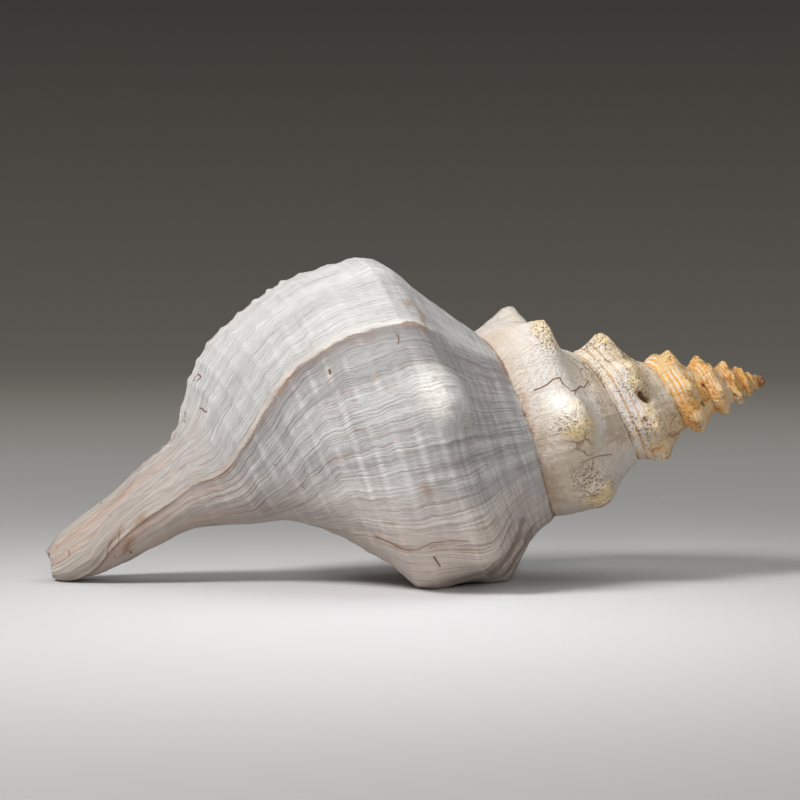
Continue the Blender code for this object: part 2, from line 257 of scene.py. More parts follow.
def knob_height(angle, place):
    """Height of the shoulder knobs over the plain surface."""
    share = around(angle, SPIRE_KNOB, BODY_KNOB)
    worn = 1.0 - SPIRE_KNOB_WEAR * np.clip(np.cos(np.radians(angle)), 0.0, 1.0)
    share = np.where(angle > PARIETAL_ANGLE, share, SPIRE_KNOB * worn)
    return suture(angle)[1] * share * knob_shape(angle, place)


def belly_height(angle, place):
    """Height of the belly under the last turn."""
    across = (angle - BELLY_ANGLE) / BELLY_SPREAD[0]
    along = (place - BELLY_PLACE) / BELLY_SPREAD[1]
    return BELLY_HEIGHT * np.exp(-across ** 2 - along ** 2)


def groove_share(angle, place):
    """Share of the radius that the canal's groove takes away."""
    off = np.abs((angle - GROOVE_ANGLE + 180.0) % 360.0 - 180.0) / GROOVE_HALF_WIDTH
    across = np.sqrt(np.clip(1.0 - off, 0.0, 1.0))
    fade = np.clip((place - GROOVE_START) / GROOVE_FADE, 0.0, 1.0)
    return GROOVE_DEPTH * across * fade * fade * (3 - 2 * fade)


def place_point(distance, radius, angle):
    """World position in the solid's frame."""
    lean = np.interp(distance, LEAN_AT, LEAN)
    along = -distance - lean * radius * np.cos(np.radians(angle))
    down = np.interp(distance, AXIS_AT, AXIS_DROP) + radius * np.cos(np.radians(angle))
    front = np.interp(distance, AXIS_AT, AXIS_FRONT) + radius * np.sin(np.radians(angle))
    cos_tilt = np.cos(np.radians(AXIS_TILT))
    sin_tilt = np.sin(np.radians(AXIS_TILT))
    point = [along * cos_tilt + down * sin_tilt, -front, along * sin_tilt - down * cos_tilt]
    return np.stack(point, -1) - FRAME_SHIFT


def plain_points(angle, place):
    """Points of the plain outside."""
    distance, radius = profile(angle, place)
    radius = radius + knob_height(angle, place) + belly_height(angle, place)
    return place_point(distance, radius * (1.0 - groove_share(angle, place)), angle)


def side_normals(line):
    """Unit normals of a profile line, towards the axis."""
    along = np.gradient(line, axis=0)
    normal = np.stack([along[:, 1], -along[:, 0]], -1)
    return normal / np.linalg.norm(normal, axis=1, keepdims=True)


# Relief of the outside: heights and widths, and the angles and places where each kind starts and ends
CORD_SPACING = 0.0098
CORD_HEIGHT = 0.00042
CORD_END = (8.2, 9.6)
LIP_CORD_HEIGHT = 0.0010
LIP_CORD_FADE = 28.0
LIP_CORD_START = (1.6, 2.6)
SPIRE_CORD_SHARE = 0.05
SPIRE_RELIEF_FROM = (120.0, 420.0)
LIP_SCALLOP = 0.65
LIP_SCALLOP_FADE = 3.0
LIP_CROWDING = 3.2
LIP_CROWD_COLUMNS = 6
GROWTH_WAVE = 0.00045
WRINKLE = 0.0010
WRINKLE_ANGLE = 118.0
WRINKLE_PLACE = 2.4
WRINKLE_SPREAD = (34.0, 1.1)
LUMP_HEIGHT = 0.0007
SPIRE_ROUGHNESS = 0.0006
KNOB_CHIP = 0.0007
LEDGE_UP = 0.0011
LEDGE_UP_FADE = 7.0
LEDGE_DOWN = 0.0010
LEDGE_DOWN_FADE = 4.0
LEDGE_START = (0.9, 1.7)
LEDGE_END = (10.4, 11.2)
LEDGE_LOWER = (5.5, 8.0)
SEAM_BEAD = 0.0009
SEAM_BEAD_PLACE = 0.22
SEAM_BEAD_WIDTH = 0.14
SUTURE_FADE = 0.4
TIP_RINGS = (0.2, 0.4, 0.58, 0.72, 0.84, 0.93)
TIP_ROUGHNESS = 0.0005
TIP_ROUGHNESS_SCALE = 700.0
NORMAL_ANGLE = 0.4
NORMAL_PLACE = 0.02


def smooth(value, low, high):
    """0 below low, 1 above high, and a smooth step between."""
    share = np.clip((value - low) / (high - low), 0.0, 1.0)
    return share * share * (3 - 2 * share)


CORD_PLACES = np.linspace(0.0, LAST_PLACE, 481)
CORD_COUNT_ANGLE = 100.0


def count_cords():
    """Number of cords from the suture to each of the cord places."""
    line = np.stack(profile(np.full_like(CORD_PLACES, CORD_COUNT_ANGLE), CORD_PLACES), -1)
    steps = np.linalg.norm(np.diff(line, axis=0), axis=1)
    return np.concatenate([[0.0], np.cumsum(steps)]) / CORD_SPACING


CORD_COUNTS = count_cords()


def cord_count(place):
    """Number of cords between the suture and a place."""
    return np.interp(place, CORD_PLACES, CORD_COUNTS)


def growth(angle, place):
    """Angle at which the lip stood when this point was laid down."""
    return LIP_ANGLE - (LIP_ANGLE - angle) / np.interp(place, TRAIL_AT, TRAIL)


def noise_at(points, scale=1.0):
    """Smooth noise from -1 to 1 at each point."""
    flat = np.reshape(points, (-1, 3)) * scale
    return np.array([noise.noise(Vector(p)) for p in flat]).reshape(np.shape(points)[:-1])


def streaks(across, along, seed):
    """Noise over two coordinates of the surface; the seed sets its layers apart."""
    return noise_at(np.stack(np.broadcast_arrays(across, along, seed), -1))


def pits(points, marks):
    """Depth of the holes, creases and lumps that marks lists; a lump's depth is below zero."""
    depth = np.zeros(points.shape[:-1])
    for centre, along, long_radius, short_radius, deep, steep in marks:
        off = points - centre
        run = off @ along
        side = (off ** 2).sum(-1) - run ** 2
        away = (run / long_radius) ** 2 + side / short_radius ** 2
        depth += deep * np.exp(-np.minimum(away, 30.0) ** steep)
    return depth


def cord_relief(angle, place, size, on_spire, wander):
    """Spiral cords: strongest near the lip, faint on the spire, gone on the canal."""
    count = cord_count(place)
    turn = 2 * np.pi * (count + 0.16 * wander)
    strength = 0.55 + 0.45 * streaks(angle / 30.0, count * 0.8, 7.0)
    near_lip = np.exp(-(LIP_ANGLE - angle) / LIP_CORD_FADE) * smooth(place, *LIP_CORD_START)
    height = CORD_HEIGHT * (1.0 - on_spire) + LIP_CORD_HEIGHT * near_lip
    height = height + on_spire * SPIRE_CORD_SHARE * CORD_SPACING * size
    height = height * (1.0 - smooth(place, *CORD_END))
    return (0.5 * np.cos(turn) + 0.28 * np.cos(2 * turn)) * height * strength


def growth_relief(angle, place, size, on_spire):
    """Growth lines across the cords, and crinkles near the shoulder of the last turn."""
    count = cord_count(place)
    laid = growth(angle, place)
    waves = streaks(laid / 5.0, count * 0.12, 11.0) + 0.6 * streaks(laid / 2.1, count * 0.3, 17.0)
    crinkle = laid + 2.2 * streaks(count * 1.3, angle / 40.0, 23.0)
    across = (angle - WRINKLE_ANGLE) / WRINKLE_SPREAD[0]
    along = (place - WRINKLE_PLACE) / WRINKLE_SPREAD[1]
    crinkled = (np.exp(-across ** 2 - along ** 2) + 0.15) * (1.0 - on_spire)
    crinkles = crinkled * streaks(crinkle / 2.6, count * 0.22, 29.0)
    return GROWTH_WAVE * waves * (0.35 + 0.65 * size) + WRINKLE * crinkles


def ledge_relief(angle, place, wander):
    """Ledge of an old lip: a crest on the newer side and a step down on the older."""
    off = growth(angle, place) - LEDGE_GROWTH - 0.9 * streaks(cord_count(place) * 0.7, 0.0, 5.0)
    crest_highlight = LEDGE_UP * np.exp(-off / LEDGE_UP_FADE)
    foot = -LEDGE_DOWN * np.exp(off / LEDGE_DOWN_FADE)
    here = smooth(place, *LEDGE_START) * (1.0 - smooth(place, *LEDGE_END)) * (angle > 0.0)
    strength = (0.6 + 0.4 * wander) * (1.0 - 0.6 * smooth(place, *LEDGE_LOWER))
    return np.where(off > 0.0, crest_highlight, foot) * here * strength


def wear_relief(points, knob, size, on_spire):
    """Lumps, and on the spire a rough surface with chipped knobs."""
    lumps = size * noise_at(points, 38.0) + 0.35 * noise_at(points, 110.0) * (0.3 + 0.7 * size)
    rough = SPIRE_ROUGHNESS * noise_at(points, 260.0) * (0.3 + size)
    chips = KNOB_CHIP * knob * np.maximum(noise_at(points, 320.0), 0.0)
    return LUMP_HEIGHT * lumps + on_spire * (rough - chips)


def relief(angle, place, points, holes):
    """Height of the fine relief over the plain outside."""
    size = turn_size(angle)
    on_spire = smooth(-angle, *SPIRE_RELIEF_FROM)
    wander = streaks(angle / 55.0, cord_count(place) * 0.35, 3.0)
    height = cord_relief(angle, place, size, on_spire, wander)
    height += growth_relief(angle, place, size, on_spire)
    height += wear_relief(points, knob_shape(angle, place), size, on_spire)
    height += ledge_relief(angle, place, wander)
    height *= smooth(place, 0.0, SUTURE_FADE)
    to_next = smooth(SUTURE_ROW - place, 0.0, SUTURE_FADE)
    height *= np.where((place < SUTURE_ROW) & (angle < PARIETAL_ANGLE), to_next, 1.0)
    bead = SEAM_BEAD * size * np.exp(-((place - SEAM_BEAD_PLACE) / SEAM_BEAD_WIDTH) ** 2)
    return height + bead - pits(points, holes)


def fine_points(angle, place, holes):
    """Points of the outside with its relief."""
    points = plain_points(angle, place)
    by_angle = plain_points(angle + NORMAL_ANGLE, place) - plain_points(angle - NORMAL_ANGLE, place)
    after = np.minimum(place + NORMAL_PLACE, LAST_PLACE)
    before = np.maximum(place - NORMAL_PLACE, 0.0)
    by_place = plain_points(angle, after) - plain_points(angle, before)
    normal = np.cross(by_angle, by_place)
    normal /= np.linalg.norm(normal, axis=-1, keepdims=True) + 1e-12
    return points + normal * relief(angle, place, points, holes)[..., None]


def lip_angles(angles, places):
    """Grid of angles: the columns crowd at the lip, and its edge is scalloped."""
    angle, place = np.meshgrid(angles, places, indexing="ij")
    crowd_reach = LIP_CROWD_COLUMNS * 360.0 / COLUMNS
    behind = np.clip(LIP_ANGLE - angle, 0.0, crowd_reach) / crowd_reach
    crowd = (behind - behind ** 2) * LIP_CROWDING
    open_part = smooth(place, 0.2, 1.2) * (1.0 - smooth(place, 7.6, 8.6))
    scallop = LIP_SCALLOP * (0.5 + 0.5 * np.cos(2 * np.pi * cord_count(place)))
    near = np.exp(-(LIP_ANGLE - angle) / LIP_SCALLOP_FADE)
    return angle + open_part * (crowd + scallop * near), place


def add_object(name, data):
    """A new object in the scene."""
    made = bpy.data.objects.new(name, data)
    bpy.context.scene.collection.objects.link(made)
    return made


class Surface:
    """Points, faces and what each face corner knows of its place on the shell."""

    def __init__(self):
        self.points = []
        self.count = 0
        self.faces = []
        self.corners = []

    def add(self, points):
        """Add points and return their numbers."""
        points = np.reshape(points, (-1, 3))
        first = self.count
        self.points.append(points)
        self.count += len(points)
        return np.arange(first, self.count)

    def bridge(self, one, other, one_data, other_data):
        """Join two rows of the same length; the data are rows of angle, place and kind."""
        self.faces.append(np.stack([one[:-1], other[:-1], other[1:], one[1:]], 1))
        self.corners.append(np.stack([one_data[:-1], other_data[:-1], other_data[1:], one_data[1:]], 1))

    def fan(self, loop, centre, data):
        """Close a loop with triangles to its centre."""
        middle = self.add(centre)[0]
        after = np.roll(loop, -1)
        heart = np.repeat(np.mean(data, axis=0)[None], len(loop), 0)
        self.faces.append(np.stack([np.full_like(loop, middle), loop, after], 1))
        self.corners.append(np.stack([heart, data, np.roll(data, -1, axis=0)], 1))


def corner_rows(angle, place, kind):
    """Rows of angle, place and kind for a line of corners."""
    return np.stack([angle, place, np.full_like(angle, kind)], -1)


def lay_outside(surface, holes):
    """Lay the outside grid; return the numbers and data of each column."""
    step = 360.0 / COLUMNS
    before = int(COLUMNS * SPIRE_TURNS)
    spire_places = np.linspace(0.0, SUTURE_ROW, SPIRE_ROWS + 1)
    base_places = np.linspace(SUTURE_ROW, LAST_PLACE, BASE_ROWS + 1)[1:]
    base_places[np.argmin(np.abs(base_places - APERTURE_END))] = APERTURE_END
    last_places = np.concatenate([spire_places, base_places])
    mouth_row = int(np.argmin(np.abs(last_places - APERTURE_END)))
    spire_angles = PARIETAL_ANGLE - step * np.arange(before, 0, -1)
    last_angles = PARIETAL_ANGLE + step * np.arange(COLUMNS + 1)
    spire_grid = np.meshgrid(spire_angles, spire_places, indexing="ij")
    last_grid = lip_angles(last_angles, last_places)
    numbers = []
    data = []
    for angle, place in (spire_grid, last_grid):
        points = fine_points(angle, place, holes)
        for column in range(len(points)):
            j = len(numbers)
            shared = numbers[j - COLUMNS][SPIRE_ROWS:SPIRE_ROWS + 1] if j >= COLUMNS else []
            tail = numbers[before][mouth_row:] if j == before + COLUMNS else []
            fresh = surface.add(points[column][len(shared):len(points[column]) - len(tail)])
            numbers.append(np.concatenate([shared, fresh, tail]).astype(int))
            data.append(corner_rows(angle[column], place[column], OUTSIDE))
    for j in range(len(numbers) - 1):
        count = min(len(numbers[j]), len(numbers[j + 1]))
        surface.bridge(numbers[j][:count], numbers[j + 1][:count], data[j][:count], data[j + 1][:count])
    return numbers, data, before, last_places, mouth_row

# Folds of the columella, flutes of the lip, and how far behind the lip the walls reach full thickness
FOLD_PLACES = (5.9, 6.5, 7.1)
FOLD_HEIGHT = 0.0011
FOLD_WIDTH = 0.16
FOLD_START = (1.0, 14.0)
FLUTE_SHARE = 0.25
FLUTE_FADE = 9.0
LIP_THICKENING = 16.0
COAT_START = 14.0


def cavity_loop(angle, outer_places, inner_places, wall, narrowest, coat):
    """One closed loop of the hollow: along the outer wall, then back up the inner wall."""
    fine = np.linspace(PROBE_FROM, APERTURE_END, PROBE_COUNT)
    outer_line = profile(np.full_like(fine, angle), fine)
    inner_line = profile(np.full_like(fine, angle - 360.0), fine)
    width = outer_line[1] - np.interp(outer_line[0], inner_line[0], inner_line[1])
    narrow = np.flatnonzero((width < narrowest) & (fine > NARROWS_FROM))
    end = fine[narrow[0]] if len(narrow) else fine[-2]
    inner_end = np.interp(np.interp(end, fine, outer_line[0]), inner_line[0], fine)
    outer_place = SUTURE_INSET + outer_places / APERTURE_END * (end - SUTURE_INSET)
    inner_start = SUTURE_ROW + SUTURE_INSET
    inner_share = (inner_places - SUTURE_ROW) / (APERTURE_END - SUTURE_ROW)
    inner_place = inner_start + inner_share * (inner_end - inner_start)
    outer = np.stack(profile(np.full_like(outer_place, angle), outer_place), -1)
    inner = np.stack(profile(np.full_like(inner_place, angle - 360.0), inner_place), -1)
    room = WALL_ROOM * np.interp(outer_place, fine, width, left=1.0)
    inner_room = WALL_ROOM * np.interp(inner[:, 0], outer_line[0], width, left=1.0)
    behind = LIP_ANGLE - angle
    folds = sum(np.exp(-((inner_place - at) / FOLD_WIDTH) ** 2) for at in FOLD_PLACES)
    lift = INNER_COAT * wall * coat + FOLD_HEIGHT * folds * smooth(behind, *FOLD_START)
    flutes = np.cos(2 * np.pi * cord_count(outer_place)) * np.exp(-behind / FLUTE_FADE)
    thick = wall * (1.0 - FLUTE_SHARE * flutes)
    outer = outer + np.minimum(thick, room)[:, None] * side_normals(outer)
    inner = inner - np.minimum(lift, inner_room)[:, None] * side_normals(inner)
    top = 0.5 * (outer[:1] + inner[:1])
    bottom = 0.5 * (outer[-1:] + inner[-1:])
    loop = np.concatenate([top, outer[1:-1], bottom, inner[-2:0:-1]])
    place = np.concatenate([outer_place, inner_place[-2:0:-1]])
    kind = np.where(np.arange(len(loop)) < len(outer_place), OUTER_WALL, INNER_WALL)
    return loop, place, kind


def lay_cavity(surface, mouth, mouth_data, outer_places, inner_places):
    """Line the hollow from the lip inwards and close it deep inside."""
    rings = [(behind, LIP_WALL * thick, share, 0.0) for behind, thick, share in LIP_RINGS]
    for behind in np.arange(LIP_RINGS[-1][0] + 2.0, CAVITY_DEPTH, CAVITY_STEP):
        thick = LIP_WALL + (WALL - LIP_WALL) * smooth(behind, 0.0, LIP_THICKENING)
        coat = smooth(behind, 0.0, COAT_START)
        rings.append((behind, thick * TURN_RATIO ** (-behind / 360.0), 1.0, coat))
    ring = mouth
    ring_data = mouth_data
    wrap = np.append(np.arange(len(ring)), 0)
    for behind, wall, share, coat in rings:
        angle = LIP_ANGLE - behind
        loop, place, kind = cavity_loop(angle, outer_places, inner_places, wall, share * NARROWEST, coat)
        angles = np.full(len(loop), angle)
        fresh = surface.add(place_point(loop[:, 0], loop[:, 1], angles))
        data = np.stack([angles, place, kind], -1)
        surface.bridge(ring[wrap], fresh[wrap], ring_data[wrap], data[wrap])
        ring, ring_data = fresh, data
    points = np.concatenate(surface.points)
    surface.fan(ring[::-1], points[ring].mean(axis=0), ring_data[::-1])


def close_tip(surface, ring, ring_data):
    """Close the worn tip of the spire with a rough dome."""
    angle, place = ring_data[:, 0], ring_data[:, 1]
    distance, radius = profile(angle, place)
    wrap = np.append(np.arange(len(ring)), 0)
    for share in TIP_RINGS:
        round_radius = radius * np.sqrt(1.0 - share ** 2)
        points = place_point(distance * (1.0 - share), round_radius, angle)
        away = points - points.mean(axis=0)
        away /= np.linalg.norm(away, axis=1, keepdims=True)
        rough = TIP_ROUGHNESS * noise_at(points, TIP_ROUGHNESS_SCALE)
        fresh = surface.add(points + away * rough[:, None])
        data = ring_data.copy()
        data[:, 1] = place * (1.0 - share)
        surface.bridge(ring[wrap], fresh[wrap], ring_data[wrap], data[wrap])
        ring, ring_data = fresh, data
    surface.fan(ring[::-1], place_point(np.array(0.0), np.array(0.0), np.array(0.0)), ring_data[::-1])


def build_shell(holes):
    """The whole shell as one mesh, with its coordinates kept on the face corners."""
    surface = Surface()
    numbers, data, before, last_places, mouth_row = lay_outside(surface, holes)
    points = np.concatenate(surface.points)
    apex_loop = np.concatenate([[numbers[j][0] for j in range(COLUMNS)], numbers[0][SPIRE_ROWS:0:-1]])
    apex_data = np.concatenate([[data[j][0] for j in range(COLUMNS)], data[0][SPIRE_ROWS:0:-1]])
    close_tip(surface, apex_loop.astype(int), apex_data)
    canal_loop = np.array([numbers[j][-1] for j in range(before, before + COLUMNS)])
    canal_data = np.array([data[j][-1] for j in range(before, before + COLUMNS)])
    surface.fan(canal_loop, points[canal_loop].mean(axis=0), canal_data)
    lip = numbers[before + COLUMNS][:mouth_row + 1]
    lip_data = data[before + COLUMNS][:mouth_row + 1]
    columella = numbers[before][mouth_row - 1:SPIRE_ROWS:-1]
    columella_data = data[before][mouth_row - 1:SPIRE_ROWS:-1].copy()
    mouth_data = np.concatenate([lip_data, columella_data])
    mouth_data[:len(lip), 2] = OUTER_WALL
    mouth_data[len(lip):, 2] = INNER_WALL
    mouth_data[len(lip):, 0] = LIP_ANGLE
    lay_cavity(surface, np.concatenate([lip, columella]), mouth_data,
               last_places[:mouth_row + 1], last_places[SPIRE_ROWS:mouth_row + 1])
    points = np.concatenate(surface.points)
    points[:, 2] = np.maximum(points[:, 2], 0.0)
    faces = [tuple(face) for block in surface.faces for face in block.tolist()]
    corners = np.concatenate([block.reshape(-1, 3) for block in surface.corners])
    mesh = bpy.data.meshes.new("conch shell")
    mesh.from_pydata(points.tolist(), [], faces)
    keep_coordinates(mesh, corners)
    mesh.shade_smooth()
    return add_object("conch_shell", mesh)


def keep_coordinates(mesh, corners):
    """Store what the material reads: place on the shell, and which side it is."""
    angle, place, kind = corners.T
    knob = knob_shape(angle, np.minimum(place, SUTURE_ROW)) * (kind == OUTSIDE)
    laid = growth(angle, place)
    values = {
        "coil": np.stack([angle, place, cord_count(place)], -1),
        "growth": np.stack([laid, knob, kind], -1),
    }
    for name, rows in values.items():
        layer = mesh.attributes.new(name, "FLOAT_VECTOR", "CORNER")
        layer.data.foreach_set("vector", rows.astype(np.float32).ravel())


class PhotoView:
    """The camera's geometry, to put marks where the photograph shows them."""

    def __init__(self):
        azimuth = np.radians(VIEW_AZIMUTH)
        elevation = np.radians(VIEW_ELEVATION)
        roll = np.radians(VIEW_ROLL)
        right = np.array([np.cos(azimuth), np.sin(azimuth), 0.0])
        level = np.cos(elevation)
        self.forward = np.array([-np.sin(azimuth) * level, np.cos(azimuth) * level, -np.sin(elevation)])
        up = np.cross(right, self.forward)
        self.right = right * np.cos(roll) + up * np.sin(roll)
        self.up = up * np.cos(roll) - right * np.sin(roll)
        half = FRAME_PIXELS / 2
        self.distance = half * METRES_PER_PIXEL / np.tan(np.radians(VIEW_ANGLE / 2))
        self.eye = np.array(VIEW_AIM) - self.forward * self.distance
        self.points = []
        self.faces = []
        self.data = []
        first_angle = PARIETAL_ANGLE - 360.0 * SPIRE_TURNS
        self.lay(first_angle, PARIETAL_ANGLE, np.linspace(0, SUTURE_ROW, SPIRE_SEARCH_ROWS))
        self.lay(PARIETAL_ANGLE, LIP_ANGLE, np.linspace(0, LAST_PLACE, LAST_SEARCH_ROWS))
        self.tree = BVHTree.FromPolygons(self.points, self.faces)

    def lay(self, first_angle, last_angle, places):
        """Add one grid of the plain outside to what a ray can hit."""
        angles = np.arange(first_angle, last_angle + 0.01, SEARCH_ANGLE)
        angle, place = np.meshgrid(angles, places, indexing="ij")
        rows = len(places)
        first = len(self.points)
        self.points.extend(plain_points(angle, place).reshape(-1, 3).tolist())
        self.data.extend(np.stack([angle, place], -1).reshape(-1, 2).tolist())
        for column in range(len(angles) - 1):
            for row in range(rows - 1):
                a = first + column * rows + row
                self.faces.append((a, a + rows, a + rows + 1, a + 1))

    def find(self, pixel):
        """Angle, place and point of the surface behind a pixel."""
        half = FRAME_PIXELS / 2
        ray = self.forward * self.distance
        ray = ray + self.right * (pixel[0] - half) * METRES_PER_PIXEL
        ray = ray + self.up * (half - pixel[1]) * METRES_PER_PIXEL
        spot, _normal, index, _far = self.tree.ray_cast(Vector(self.eye), Vector(ray).normalized())
        if spot is None:
            raise ValueError("no shell behind pixel " + str(pixel))
        face = self.faces[index]
        weights = poly_3d_calc([Vector(self.points[k]) for k in face], spot)
        angle, place = np.array(weights) @ np.array([self.data[k] for k in face])
        return angle, place, np.array(spot)


# Holes, creases and lumps: two pixels on the long axis, half width and depth in mm, steepness
HOLES = (
    ((640.5, 393.5), (650.5, 400.5), 2.1, 4.0, 2),
    ((644.5, 418.0), (646.0, 420.0), 1.2, 0.9, 2),
    ((703.0, 385.0), (704.0, 386.5), 0.9, 1.0, 2),
    ((735.0, 395.0), (736.0, 396.5), 0.8, 0.8, 2),
    ((702.0, 403.0), (703.0, 404.5), 0.9, 0.8, 2),
    ((725.0, 381.0), (729.0, 385.0), 1.2, 0.8, 2),
    ((478.0, 575.0), (496.0, 566.0), 2.6, 1.5, 1),
    ((499.0, 564.0), (511.0, 553.0), 2.6, 1.5, 1),
    ((513.0, 550.0), (520.0, 530.0), 2.6, 1.3, 1),
    ((470.0, 558.0), (497.0, 540.0), 9.0, -2.5, 1),
    ((447.0, 385.0), (455.0, 416.0), 12.0, -5.5, 1),
    ((476.0, 425.0), (482.0, 455.0), 7.0, 1.5, 1),
    ((569.0, 402.0), (578.0, 418.0), 7.0, -3.2, 1),
    ((541.0, 326.0), (545.0, 338.0), 5.0, -1.2, 1),
    ((597.0, 488.0), (602.0, 496.0), 5.0, -1.2, 1),
    ((640.0, 410.0), (648.0, 420.0), 4.0, -1.0, 1),
    ((420.0, 310.0), (428.0, 322.0), 5.0, -1.2, 1),
    ((384.0, 272.0), (398.0, 296.0), 2.2, 1.1, 1),
    ((402.0, 288.0), (410.0, 304.0), 2.0, -1.1, 1),
    ((414.0, 298.0), (432.0, 330.0), 2.2, 1.1, 1),
    ((440.0, 318.0), (452.0, 344.0), 2.2, 0.8, 1),
)


def hole_marks(view):
    """Centres, directions and sizes of the holes, creases and lumps, in metres."""
    marks = []
    for start, end, half_width, depth, steep in HOLES:
        first = view.find(start)[2]
        last = view.find(end)[2]
        length = np.linalg.norm(last - first)
        radius = MILLIMETRE * half_width
        marks.append((0.5 * (first + last), (last - first) / length, 0.5 * (length + radius),
                      radius, MILLIMETRE * depth, steep))
    return marks


class Value:
    """A number that a material works out at each point of the surface."""

    def __init__(self, tree, socket):
        self.tree = tree
        self.socket = socket

    def __add__(self, other):
        return self.tree.math("ADD", self, other)

    def __mul__(self, other):
        return self.tree.math("MULTIPLY", self, other)

    def __sub__(self, other):
        return self.tree.math("SUBTRACT", self, other)

    def __rsub__(self, other):
        return self.tree.math("SUBTRACT", other, self)

    def __abs__(self):
        return self.tree.math("ABSOLUTE", self)

    __radd__ = __add__
    __rmul__ = __mul__


class Tree:
    """Short ways to build a material's node tree."""

    def __init__(self, name):
        self.material = bpy.data.materials.new(name)
        self.material.use_nodes = True
        self.shader = self.material.node_tree.nodes["Principled BSDF"]

    def put(self, socket, value):
        """Link a socket to a worked out value, or set it to a fixed one."""
        if isinstance(value, Value):
            value = value.socket
        if isinstance(value, bpy.types.NodeSocket):
            self.material.node_tree.links.new(value, socket)
        else:
            socket.default_value = value

    def add(self, kind, values=(), **settings):
        """Add a node with its settings, and fill its sockets: in order, or by name or number."""
        node = self.material.node_tree.nodes.new("ShaderNode" + kind)
        for name, setting in settings.items():
            setattr(node, name, setting)
        pairs = values.items() if isinstance(values, dict) else enumerate(values)
        for key, value in pairs:
            self.put(node.inputs[key], value)
        return node

    def math(self, operation, first, second=0.0):
        return Value(self, self.add("Math", (first, second), operation=operation).outputs[0])

    def vector(self, operation, *values):
        return self.add("VectorMath", values, operation=operation)

    def where(self):
        """Place of the point in the object's own frame."""
        return self.add("TexCoord").outputs["Object"]

    def attribute(self, name):
        return self.add("Attribute", attribute_type="GEOMETRY", attribute_name=name).outputs["Vector"]

    def split(self, vector):
        return [Value(self, output) for output in self.add("SeparateXYZ", (vector,)).outputs]

    def join(self, *values):
        return self.add("CombineXYZ", values).outputs[0]

    def step(self, value, low, high, start=0.0, end=1.0):
        """Smooth change from start to end as the value goes from low to high."""
        node = self.add("MapRange", (value, low, high, start, end), interpolation_type="SMOOTHSTEP")
        return Value(self, node.outputs[0])

    def noise(self, vector, scale=1.0, detail=2.0, roughness=0.5):
        values = {"Vector": vector, "Scale": scale, "Detail": detail, "Roughness": roughness}
        return Value(self, self.add("TexNoise", values).outputs[0])

    def streaks(self, across, along, seed, detail=2.0, roughness=0.5):
        """Noise over two coordinates of the surface; the seed sets its layers apart."""
        return self.noise(self.join(across, along, seed), 1.0, detail, roughness)

    def cells(self, vector, scale, feature="F1"):
        node = self.add("TexVoronoi", {"Vector": vector, "Scale": scale}, feature=feature)
        return Value(self, node.outputs["Distance"])

    def mix(self, share, first, second):
        """Colour between two others; a share above 1 counts as 1."""
        return self.add("Mix", {"Factor": share, 6: first, 7: second}, data_type="RGBA").outputs[2]

    def most(self, first, *values):
        for value in values:
            first = self.math("MAXIMUM", first, value)
        return first

    def limit(self, value):
        """The value, held between 0 and 1."""
        return self.math("MINIMUM", self.math("MAXIMUM", value, 0.0), 1.0)


def tone(red, green, blue):
    """Linear colour from the 0 to 255 values of a screen."""
    screen = np.array([red, green, blue]) / 255.0
    linear = np.where(screen <= 0.04045, screen / 12.92, ((screen + 0.055) / 1.055) ** 2.4)
    return (*linear.tolist(), 1.0)


# Strokes of colour: width in mm, strength, then the pixels that they run through
STROKE_HALF = 0.65
BROWN_STROKES = (
    (0.9, 1.0, ((329.5, 370.5), (330.5, 373.5))),
    (0.45, 0.9, ((195, 382), (194, 377), (198, 374), (201, 377), (197, 381))),
    (0.5, 0.9, ((199, 408), (202, 409), (203, 411), (206, 412))),
    (0.4, 0.7, ((184, 412), (186, 414), (185, 417))),
    (0.4, 0.7, ((183, 420), (185, 422))),
    (0.35, 0.7, ((274, 464.5), (276, 465.5))),
    (0.35, 0.6, ((303, 486), (305, 488.5))),
    (0.35, 0.6, ((100.5, 502), (101.5, 504))),
    (0.3, 0.5, ((109, 515), (111, 516))),
    (0.35, 0.8, ((398, 334), (399, 340), (398, 344))),
    (0.35, 0.7, ((69, 551), (69.5, 556))),
    (0.35, 0.8, ((107, 555), (108, 548), (112, 541))),
    (0.35, 0.6, ((114, 556), (116, 557.5))),
    (0.4, 0.6, ((118, 546), (120, 531))),
    (0.6, 0.9, ((130, 551), (131.5, 553))),
    (0.6, 0.8, ((376, 537), (388, 541), (398, 547), (410, 550))),
    (0.45, 0.6, ((410, 550), (420, 549), (431, 543), (450, 540), (468, 541))),
    (0.8, 1.0, ((511, 526), (505, 534), (498, 544))),
    (0.6, 0.9, ((434, 557), (437, 562), (440, 567))),
    (0.3, 0.35, ((448, 563), (462, 568))),
    # Along the belly lobe's edge: a brown line, partly painted shade in the crease
    (0.7, 0.7, ((474, 575.5), (485, 571), (494, 564), (503, 556))),
    (0.8, 0.35, ((479, 472), (480, 478))),
    (0.5, 0.3, ((424, 487), (426, 489))),
    (0.45, 0.9, ((535, 390), (541, 388), (547, 385), (553, 380), (560, 378), (563, 384), (567, 387))),
    (0.45, 0.9, ((567, 387), (572, 391), (577, 390), (581, 386), (585, 387), (589, 381))),
    (0.35, 0.8, ((577, 390), (574, 396), (581, 404))),
    (0.35, 0.7, ((583, 387), (585, 392), (589, 398))),
    (0.35, 0.7, ((567, 358), (574, 363), (580, 370), (583, 368))),
    (0.35, 0.6, ((580, 370), (583, 377))),
    (0.35, 0.7, ((582, 463), (590, 459), (598, 456), (612, 454))),
    (0.35, 0.6, ((594, 458), (592, 470))),
    (0.35, 0.5, ((566, 356), (575, 365), (585, 372))),
)
